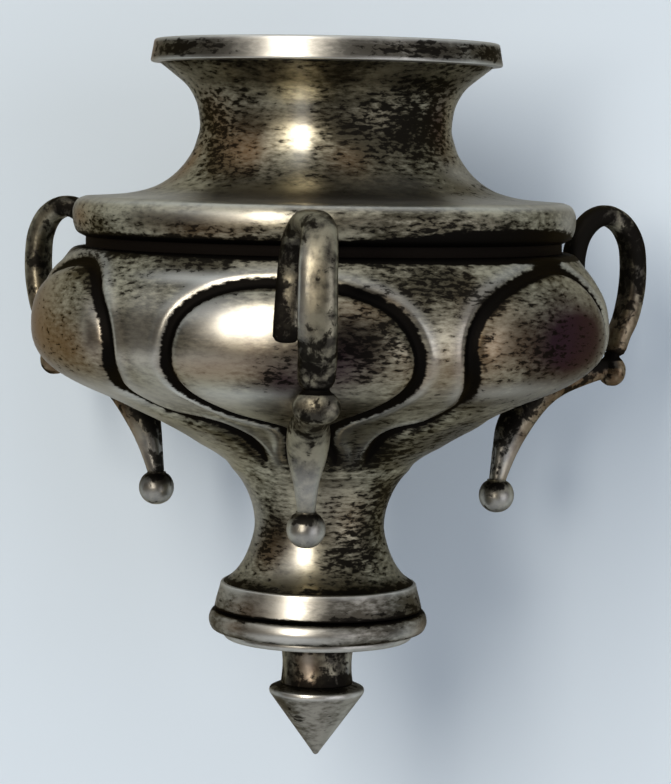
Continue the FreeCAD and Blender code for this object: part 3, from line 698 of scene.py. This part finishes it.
spoolTop = levelOf("finial_spool", 1)
spool = {
    "runs": [[(2.05, spoolTop - 0.02), (6.45, spoolTop - 0.02)],
             [(6.45, spoolTop - 0.02), (6.4, 19.2), (6.2, 17.4), (6.2, 15.4), (6.45, coneTop + 0.02)],
             [(6.45, coneTop + 0.02), (2.05, coneTop + 0.02)],
             [(2.05, coneTop + 0.02), (2.05, spoolTop - 0.02)]],
    "edgeRound": 0.2, "segments": 96,
    # on the spool the worn patches at -12 and 70 degrees are painted highlights, and the warm patch at
    # -12 a painted warm reflection
    "stains": {
        "tarnishAndShade": [(0, 20.2, 400, 1.0, 0.6), (0, 13.3, 400, 1.2, 0.7), (-50, 16.5, 25, 4, 0.2),
                    (35, 17, 25, 4, 0.25), (160, 17, 60, 4, 0.3)],
        "warmToneAndReflection": [(-12, 16.5, 18, 3, 0.5)],
        "wornAndHighlight": [(-12, 16.8, 9, 2.0, 0.7), (70, 17, 12, 3, 0.3)],
    },
}
spunPiece(spool, "finialSpool", "finial", ["finial_spool"], castSilver)

washerLow = levelOf("finial_washer", 0)
washer = {
    "runs": [[(2.32, washerLow + 0.58), (5.97, washerLow + 0.58)],
             [(5.97, washerLow + 0.58), (5.97, washerLow + 0.02)],
             [(5.97, washerLow + 0.02), (2.32, washerLow + 0.02)],
             [(2.32, washerLow + 0.02), (2.32, washerLow + 0.58)]],
    "edgeRound": 0.12, "segments": 96,
}
spunPiece(washer, "brassWasher", "washer", ["finial_washer"], dullBrass)

# mm; the crest's flat is a share of the pitch, and plain ends run past the thread
stud = {"crest": 1.98, "root": 1.6, "pitch": 1.0, "low": 7.1, "high": 30.45, "steps": 40,
        "flat": (0.42, 0.58), "lead": 0.5, "plainLow": 1.2, "plainHigh": 1.6}


def makeStud(spec):
    # one pitch wide zigzag per turn, screwed up by exactly one pitch, so the turns join
    bm = bmesh.new()
    turns = int((spec["high"] - spec["low"]) / spec["pitch"]) - 2
    line = []
    for i in range(turns):
        base = spec["low"] + spec["lead"] + i * spec["pitch"]
        line.append((spec["root"], base))
        line += [(spec["crest"], base + up * spec["pitch"]) for up in spec["flat"]]
    line.append((spec["root"], spec["low"] + spec["lead"] + turns * spec["pitch"]))
    spots = [bm.verts.new((r * mm, 0, z * mm + tipLevel)) for r, z in line]
    edges = [bm.edges.new(pair) for pair in zip(spots, spots[1:])]
    bmesh.ops.spin(bm, geom=spots + edges, cent=(0, 0, 0), axis=(0, 0, 1), angle=2 * math.pi,
                   dvec=(0, 0, spec["pitch"] * mm / spec["steps"]), steps=spec["steps"])
    bmesh.ops.remove_doubles(bm, verts=bm.verts, dist=5e-6)
    for low, high in ((spec["low"], spec["low"] + spec["plainLow"]),
                      (spec["high"] - spec["plainHigh"], spec["high"])):
        core = bmesh.ops.create_cone(bm, cap_ends=True, segments=spec["steps"],
                                     radius1=spec["root"] * mm, radius2=spec["root"] * mm,
                                     depth=(high - low) * mm)["verts"]
        bmesh.ops.translate(bm, verts=core, vec=(0, 0, (low + high) / 2 * mm + tipLevel))
    bmesh.ops.recalc_face_normals(bm, faces=bm.faces)
    piece = toMesh(bm, "threadedStud", "finial", ["finial_stud"], dullBrass)
    stain(piece, {})
    return piece


makeStud(stud)

nutLow = levelOf("stud_nut", 0)
nut = {
    "runs": [[(2.06, nutLow + 6.95), (4.9, nutLow + 6.95)],
             [(4.9, nutLow + 6.95), (4.9, nutLow + 0.05)],
             [(4.9, nutLow + 0.05), (2.06, nutLow + 0.05)],
             [(2.06, nutLow + 0.05), (2.06, nutLow + 6.95)]],
    "edgeRound": 0.3, "segments": 48,
}
spunPiece(nut, "studNut", "vessel", ["stud_nut"], dullBrass)
print("finial made")


# fire pan

pan = {
    "outside": [(22.65, 119.05), (22.2, 118.0), (21.35, 115.3), (20.85, 113.2), (20.75, 111.0),
                (20.3, 105.0), (19.3, 88.0), (18.4, 84.2), (15.4, 80.8), (11.0, 79.5), (0, 79.42)],
    "inside": [(0, 80.2), (10.6, 80.3), (14.6, 81.5), (17.5, 84.6), (18.45, 88.4), (19.45, 105.0),
               (19.95, 111.0), (20.05, 113.2), (20.6, 115.6), (21.5, 118.3), (22.1, 119.1)],
}
pan["runs"] = [pan["outside"], [pan["outside"][-1], pan["inside"][0]], pan["inside"],
               [pan["inside"][-1], pan["outside"][0]]]
pan.update({"edgeRound": 0.0, "segments": 192, "step": 1.0, "stains": {
    "tarnishAndShade": [(0, 80, 400, 4, 0.6)], "wornAndHighlight": [(0, 119, 400, 0.6, 0.5)]}})
spunPiece(pan, "firePan", "pan", ["fire_pan"], sootySteel)
print("pan made")


# chain handles: strap, horn and ball

strap = {
    # out from the axis, sideways, level, half width, half thickness
    "path": [(49.9, -2.3, 78.3, 2.1, 2.1), (50.3, -2.2, 80.6, 2.0, 2.0), (50.5, -1.9, 84.5, 2.1, 1.9),
             (50.7, -1.5, 89.0, 2.2, 1.9), (52.3, -1.0, 93.2, 2.2, 1.9), (55.4, -0.5, 96.0, 2.3, 1.9),
             (58.4, -0.2, 96.6, 2.4, 1.95), (61.7, 0.0, 95.0, 2.5, 2.0), (63.9, 0.0, 91.6, 2.65, 2.05),
             (64.55, 0.0, 87.4, 2.7, 2.1), (64.3, 0.0, 82.4, 2.75, 2.1), (63.1, 0.0, 77.4, 2.7, 2.0),
             (61.9, 0.0, 74.8, 2.65, 1.85), (61.1, 0.0, 72.1, 2.5, 1.65)],
    "sides": 28, "step": 0.7, "square": 2.7,
}
horn = {
    "path": [(60.2, 0, 68.4, 1.6, 1.6), (58.4, 0, 68.2, 1.9, 1.9), (54.6, 0, 67.4, 2.1, 2.1),
             (49.6, 0, 65.9, 2.3, 2.3), (45.4, 0, 64.0, 3.1, 2.6), (41.8, 0, 61.2, 3.6, 3.0),
             (39.3, 0, 57.6, 3.2, 2.9), (37.9, 0, 53.9, 2.3, 2.35), (37.0, 0, 50.8, 1.8, 1.85),
             (36.35, 0, 48.3, 1.5, 1.5)],
    "sides": 24, "step": 0.7, "square": 2.2,
    # the knob: a short neck under the strap and an ovoid bead, (radius, level)
    "knob": [(0, 71.2), (1.35, 71.15), (1.4, 70.4), (2.05, 69.6), (2.5, 68.6), (2.55, 67.5),
             (2.25, 66.3), (1.5, 65.4), (0.8, 65.0), (0, 64.95)],
    "knobOut": 60.4, "knobOval": (0.9, 1.3), "knobSteps": 36,
}
domeAngles = (0.5, 0.95, 1.3, 1.5)  # radians up the dome that closes each end
domeHigh = 0.7  # its height over its half width
domeLeast = 0.05  # mm, the half width of its tip


def sweepPiece(bm, spec):
    # a rounded section carried along the path and closed with domed ends
    line = np.array(smoothRun(spec["path"], spec["step"]))
    run = np.concatenate([[0], np.cumsum(np.linalg.norm(np.diff(line[:, :3], axis=0), axis=1))])
    way = np.gradient(line[:, :3], run, axis=0)
    stations = []
    for spot, ahead in zip(line, way):
        ahead = Vector(ahead).normalized()
        side = (Vector((0, 1, 0)) - ahead * ahead.y).normalized()
        depth = ahead.cross(side)
        stations.append((Vector(spot[:3]), ahead, side, depth, spot[3], spot[4]))
    dome = []
    for end, sign in ((0, -1), (-1, 1)):
        at, ahead, side, depth, wide, thick = stations[end]
        caps = [(at + ahead * sign * wide * domeHigh * math.sin(t), ahead, side, depth,
                 max(wide * math.cos(t), domeLeast), max(thick * math.cos(t), domeLeast))
                for t in domeAngles]
        dome.append(caps)
    stations = list(reversed(dome[0])) + stations + dome[1]
    count = spec["sides"]
    ring = bmesh.ops.create_circle(bm, segments=count, radius=1.0)["verts"]
    for vert in ring:
        angle = math.atan2(vert.co.y, vert.co.x)
        power = 2 / spec["square"]
        vert.co.x = math.copysign(abs(math.cos(angle)) ** power, math.cos(angle))
        vert.co.y = math.copysign(abs(math.sin(angle)) ** power, math.sin(angle))
    before = Matrix.Identity(4)
    edges = list({e for v in ring for e in v.link_edges})
    firstEdges = edges
    for i, (at, ahead, side, depth, wide, thick) in enumerate(stations):
        now = Matrix([[side[k] * wide, depth[k] * thick, ahead[k], at[k]] for k in range(3)]
                     + [[0, 0, 0, 1]])
        if i:
            made = bmesh.ops.extrude_edge_only(bm, edges=edges)["geom"]
            ring = [g for g in made if isinstance(g, bmesh.types.BMVert)]
            edges = [g for g in made if isinstance(g, bmesh.types.BMEdge)
                     and all(v in set(ring) for v in g.verts)]
        bmesh.ops.transform(bm, matrix=now @ before.inverted(), verts=ring)
        before = now
    bmesh.ops.contextual_create(bm, geom=firstEdges)
    bmesh.ops.contextual_create(bm, geom=edges)
    bmesh.ops.recalc_face_normals(bm, faces=bm.faces)


# rubbed places with painted highlights, black places, painted shade and painted brown reflections:
# (level or radius in mm, half width or run, strength)
wear = {
    "strapRubAndHighlight": (66.3, 1.2, 0.55), "strapRootShade": (58, 4, 0.5), "strapFoot": (70.6, 1.1, 0.9),
    "frontBlack": (76, 3.6, 0.5), "sideShade": {"right": 0.5, "left": 0.1}, "sideShadeFrom": (74, 8),
    "sideBrownReflection": (84, 8, 0.3), "hornNeck": (71.0, 0.7, 0.9), "hornElbow": (64, 2.5, 0.4),
    "hornRub": (52, 4, 0.35), "ballTop": (47.6, 0.8, 0.45), "ballRub": (44.5, 1.8, 0.4),
    "neckOut": 56, "blackAbove": 69.8,  # the neck's radius and level on the horn
    # across a side horn: mm the change takes, and (strength, how early, as a share of that)
    "hornEdge": 1.2, "hornInside": (0.65, 0.1), "hornBrownReflection": (0.4, 0.4),
}


def standOn(bm, turn):
    # from (out, sideways, level) in mm to the vessel's own place at one handle's azimuth
    a = math.radians(turn)
    place = Matrix([[math.sin(a) * mm, math.cos(a) * mm, 0, 0],
                    [-math.cos(a) * mm, math.sin(a) * mm, 0, 0],
                    [0, 0, mm, tipLevel], [0, 0, 0, 1]])
    bmesh.ops.transform(bm, matrix=place, verts=bm.verts)
    bmesh.ops.recalc_face_normals(bm, faces=bm.faces)


ballDrop = {
    "runs": [[(0, 42.12), (1.2, 42.35), (2.3, 43.05), (3.0, 44.1), (3.25, 45.35), (3.0, 46.6),
              (2.3, 47.65), (1.75, 48.0), (1.7, 48.25)], [(1.7, 48.25), (0, 48.25)]],
    "out": 36.2, "steps": 40,
}


def spinBead(bm, runs, out, steps, oval=(1, 1)):
    # a small turned bead about its own upright axis
    made = [bm.verts.new((r, 0, z)) for r, z in profileLine(runs, 0.5)]
    edges = [bm.edges.new(pair) for pair in zip(made, made[1:])]
    bmesh.ops.spin(bm, geom=made + edges, cent=(0, 0, 0), axis=(0, 0, 1), angle=2 * math.pi,
                   steps=steps, use_merge=True)
    bmesh.ops.remove_doubles(bm, verts=bm.verts, dist=1e-3)
    bmesh.ops.scale(bm, verts=bm.verts, vec=(oval[0], oval[1], 1))
    bmesh.ops.translate(bm, verts=bm.verts, vec=(out, 0, 0))


handleTurns = {"front": 0, "right": 120, "left": -120}
# the front handle as its chain has pulled it: mm aside, from how far out and over what run,
# and how much wider it is past widerFrom
pulled = {"side": "front", "aside": 3.1, "from": {"loop": 52, "horn": 38},
          "over": {"loop": 10, "horn": 24}, "wider": 1.15, "widerFrom": {"loop": 0, "horn": 57}}
for side, turn in handleTurns.items():
    for spec, part in ((strap, "loop"), (horn, "horn")):
        bm = bmesh.new()
        if part == "horn":
            spinBead(bm, [spec["knob"]], spec["knobOut"], spec["knobSteps"], spec["knobOval"])
        sweepPiece(bm, spec)
        if side == pulled["side"]:
            for vert in bm.verts:
                share = (vert.co.x - pulled["from"][part]) / pulled["over"][part]
                if vert.co.x > pulled["widerFrom"][part]:
                    vert.co.y *= pulled["wider"]
                vert.co.y += pulled["aside"] * min(max(share, 0), 1)
        standOn(bm, turn)
        piece = toMesh(bm, "handle%s_%s" % (part.capitalize(), side), "vessel",
                       ["handle_%s_%s" % (part, side)], castSilver)
        azimuth, level, radius = places(piece)
        extra = {}
        if part == "loop":
            sideways = np.abs(np.radians((azimuth - turn + 180) % 360 - 180)) * radius
            # chain wear along the strap's outer face, with a painted highlight line on it
            rub = wear["strapRubAndHighlight"]
            extra["wornAndHighlight"] = softPatch(radius, rub) * np.exp(-(sideways / rub[1]) ** 2)
            # painted shade on the leg that runs in beside the vessel
            root, run, strength = wear["strapRootShade"]
            extra["tarnishAndShade"] = strength * np.clip((root - radius) / run, 0, 1)
            extra["tarnishAndShade"] += softPatch(level, wear["strapFoot"])
            if side == "front":
                middle, half, strength = wear["frontBlack"]
                extra["tarnishAndShade"] += strength * np.exp(-((level - middle) / half) ** 4)
            else:
                # painted shade on the upper side straps, heavier on the right handle, away from the
                # window lamp
                low, run = wear["sideShadeFrom"]
                extra["tarnishAndShade"] += wear["sideShade"][side] * np.clip((level - low) / run, 0, 1)
                # painted brown reflection on the lower side straps
                high, run, strength = wear["sideBrownReflection"]
                extra["warmToneAndReflection"] = strength * np.clip((high - level) / run, 0, 1)
        else:
            extra["groove"] = 1.0 * (level > wear["blackAbove"])
            extra["tarnishAndShade"] = (softPatch(level, wear["hornNeck"]) * (radius > wear["neckOut"])
                                + softPatch(level, wear["hornElbow"]))
            extra["wornAndHighlight"] = softPatch(level, wear["hornRub"])
            if side != "front":  # black towards the vessel, painted brown reflection outwards
                path = np.array(spec["path"])
                outwards = radius - np.interp(-level, -path[:, 2], path[:, 0])
                outwards = outwards / wear["hornEdge"]
                strength, early = wear["hornInside"]
                extra["tarnishAndShade"] += strength * np.clip(early - outwards, 0, 1)
                strength, early = wear["hornBrownReflection"]
                extra["warmToneAndReflection"] = strength * np.clip(early + outwards, 0, 1)
        stain(piece, {}, extra)
    bm = bmesh.new()
    spinBead(bm, ballDrop["runs"], ballDrop["out"], ballDrop["steps"])
    standOn(bm, turn)
    piece = toMesh(bm, "handleBall_" + side, "vessel", ["handle_ball_" + side],
                   castSilver)
    azimuth, level, radius = places(piece)
    stain(piece, {}, {"tarnishAndShade": softPatch(level, wear["ballTop"]),
                      "wornAndHighlight": softPatch(level, wear["ballRub"])})
print("handles made")


# paper behind, light, world, camera

paper = {"behind": 53.2, "half": 900, "colour": "#d2dde5", "shadeSide": "#cbd6df"}


def makePaper(spec):
    bm = bmesh.new()
    bmesh.ops.create_grid(bm, x_segments=24, y_segments=24, size=spec["half"] * mm)
    bmesh.ops.rotate(bm, cent=(0, 0, 0), matrix=Matrix.Rotation(math.radians(90), 3, "X"),
                     verts=bm.verts)
    bmesh.ops.translate(bm, verts=bm.verts, vec=(0, spec["behind"] * mm, 0))
    mesh = bpy.data.meshes.new("paperSheet")
    bm.to_mesh(mesh)
    bm.free()
    sheet = bpy.data.objects.new("paperSheet", mesh)
    bpy.context.scene.collection.objects.link(sheet)
    material = bpy.data.materials.new("paperMatt")
    material.use_nodes = True
    tree = material.node_tree
    tree.nodes.clear()
    place = addNode(tree, "ShaderNodeTexCoord").outputs["Object"]
    cloud = addNode(tree, "ShaderNodeTexNoise", inputs={"Scale": 9.0, "Detail": 2.0},
                    links={"Vector": place}).outputs[0]
    colour = blendColours(tree, cloud, spec["colour"], spec["shadeSide"])
    shader = addNode(tree, "ShaderNodeBsdfPrincipled", inputs={"Roughness": 0.85},
                     links={"Base Color": colour})
    clear = addNode(tree, "ShaderNodeBsdfTransparent")
    behind = addNode(tree, "ShaderNodeNewGeometry").outputs["Backfacing"]
    both = addNode(tree, "ShaderNodeMixShader", links={0: behind, 1: shader.outputs[0],
                                                      2: clear.outputs[0]})
    addNode(tree, "ShaderNodeOutputMaterial", links={"Surface": both.outputs[0]})
    mesh.materials.append(material)
    return sheet


makePaper(paper)

lamps = [
    # azimuth from the camera's side (left is less), height above, away, wide, tall, watts, colour
    {"name": "window", "turn": -21, "up": 20, "away": 2.2, "wide": 0.4, "tall": 1.8, "watts": 34.0,
     "colour": "#fff8ee"},
    {"name": "fill", "turn": 52, "up": -4, "away": 2.2, "wide": 1.6, "tall": 1.6, "watts": 15.0,
     "colour": "#eef2ff"},
]
for lamp in lamps:
    data = bpy.data.lights.new(lamp["name"], "AREA")
    data.shape = "RECTANGLE"
    data.size = lamp["wide"]
    data.size_y = lamp["tall"]
    data.energy = lamp["watts"]
    data.color = linear(lamp["colour"])[:3]
    thing = bpy.data.objects.new(lamp["name"], data)
    a, b = math.radians(lamp["turn"]), math.radians(lamp["up"])
    spot = Vector((math.sin(a) * math.cos(b), -math.cos(a) * math.cos(b), math.sin(b))) * lamp["away"]
    thing.location = spot
    thing.rotation_euler = spot.to_track_quat("Z", "Y").to_euler()
    bpy.context.scene.collection.objects.link(thing)

room = {"side": "#625d57", "back": "#d4dae2", "up": "#e8ecf2", "down": "#dce1e8", "strength": 1.0}


def makeWorld(spec):
    world = bpy.data.worlds.new("softRoom")
    world.use_nodes = True
    bpy.context.scene.world = world
    tree = world.node_tree
    tree.nodes.clear()
    way = addNode(tree, "ShaderNodeTexCoord").outputs["Generated"]
    parts = addNode(tree, "ShaderNodeSeparateXYZ", links={0: way})
    colour = spec["side"]
    for axis, low, high, end in ((1, 0.2, 0.7, "back"), (2, 0.2, 0.6, "up"), (2, -0.2, -0.6, "down")):
        share = addNode(tree, "ShaderNodeMapRange", {"interpolation_type": "SMOOTHSTEP"},
                        {"From Min": low, "From Max": high}, {"Value": parts.outputs[axis]})
        colour = blendColours(tree, share.outputs[0], colour, spec[end])
    light = addNode(tree, "ShaderNodeBackground", inputs={"Strength": spec["strength"]},
                    links={"Color": colour})
    addNode(tree, "ShaderNodeOutputWorld", links={"Surface": light.outputs[0]})


makeWorld(room)

# mm from the axis and above the origin, degrees, and the lens in mm on a 36 mm sensor
shot = {"away": 507.5, "turn": 3.47, "rise": 14.35, "yaw": 0.28, "pitch": 4.78, "roll": 0.97,
        "lens": 131.9235, "sensor": 36}


def makeCamera(spec):
    data = bpy.data.cameras.new("shot")
    data.lens = spec["lens"]
    data.sensor_width = spec["sensor"]
    data.clip_start = 0.01
    camera = bpy.data.objects.new("shot", data)
    yaw, pitch, roll = (math.radians(spec[key]) for key in ("yaw", "pitch", "roll"))
    forward = Vector((math.sin(yaw) * math.cos(pitch), math.cos(yaw) * math.cos(pitch),
                      -math.sin(pitch)))
    right = Vector((math.cos(yaw), -math.sin(yaw), 0))
    up = right.cross(forward)
    level = math.cos(roll) * right + math.sin(roll) * up
    top = -math.sin(roll) * right + math.cos(roll) * up
    spot = Vector((0, -spec["away"], spec["rise"])) * mm
    stand = Matrix([[level[k], top[k], -forward[k], spot[k]] for k in range(3)] + [[0, 0, 0, 1]])
    camera.matrix_world = Matrix.Rotation(math.radians(spec["turn"]), 4, "Z") @ stand
    bpy.context.scene.collection.objects.link(camera)
    bpy.context.scene.camera = camera


makeCamera(shot)
bpy.context.scene.view_settings.view_transform = "Standard"
print("stage, lights and camera made")
